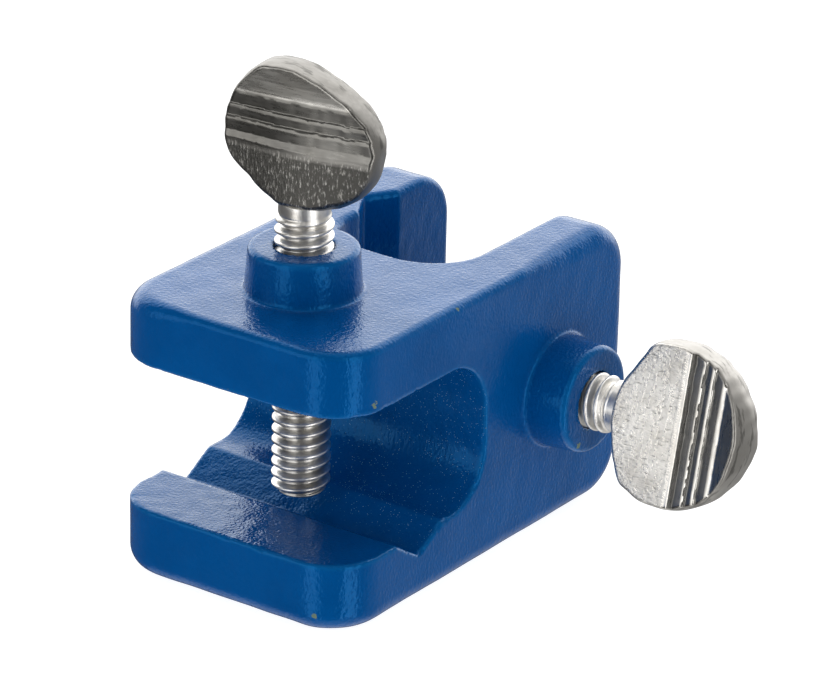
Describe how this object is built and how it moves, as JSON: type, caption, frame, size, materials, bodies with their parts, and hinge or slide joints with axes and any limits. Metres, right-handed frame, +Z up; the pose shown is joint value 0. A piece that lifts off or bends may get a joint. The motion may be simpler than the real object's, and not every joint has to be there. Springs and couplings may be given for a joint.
{
  "type": "boss head",
  "caption": "Boss head for laboratory stand rods: a painted casting with V-grooved jaws at right angles, each closed by a thumb screw.",
  "frame": {"origin": "middle of the flat underside of the casting", "axes": "+Z up along the top screw; the front jaw opens towards -Y and its rod lies along X; the back jaw opens towards +Y, its rod stands along Z and its screw points along +X"},
  "size_m": [0.0558, 0.0522, 0.057],
  "materials": {
    "blue_paint": "glossy epoxy coat with fine orange peel over a rough casting",
    "nickel_thread": "nickel plate on a cut thread",
    "nickel_cast": "nickel plate on a cast thumb head, smooth with a rough lower face"
  },
  "bodies": {
    "casting": {"body_casting": "blue_paint"},
    "top_stud": {"top_screw_stud": "nickel_thread"},
    "top_head": {"top_screw_head": "nickel_cast"},
    "side_stud": {"side_screw_stud": "nickel_thread"},
    "side_head": {"side_screw_head": "nickel_cast"}
  },
  "joints": [
    {"name": "top_screw_feed", "type": "slide", "parent": "casting", "child": "top_stud", "axis": [0, 0, 1], "range_m": [-0.0015, 0.0159]},
    {"name": "top_screw_turn", "type": "hinge", "parent": "top_stud", "child": "top_head", "pos_m": [0, -0.01265, 0.0417], "axis": [0, 0, 1], "range_deg": [-425, 4500]},
    {"name": "side_screw_feed", "type": "slide", "parent": "casting", "child": "side_stud", "axis": [1, 0, 0], "range_m": [-0.0005, 0.0168]},
    {"name": "side_screw_turn", "type": "hinge", "parent": "side_stud", "child": "side_head", "pos_m": [0.0247, 0.01265, 0.016], "axis": [1, 0, 0], "range_deg": [-140, 4760]}
  ],
  "couplings": [
    {"joint": "top_screw_feed", "follows": "top_screw_turn", "m_per_rad": 0.00020213},
    {"joint": "side_screw_feed", "follows": "side_screw_turn", "m_per_rad": 0.00020213}
  ]
}
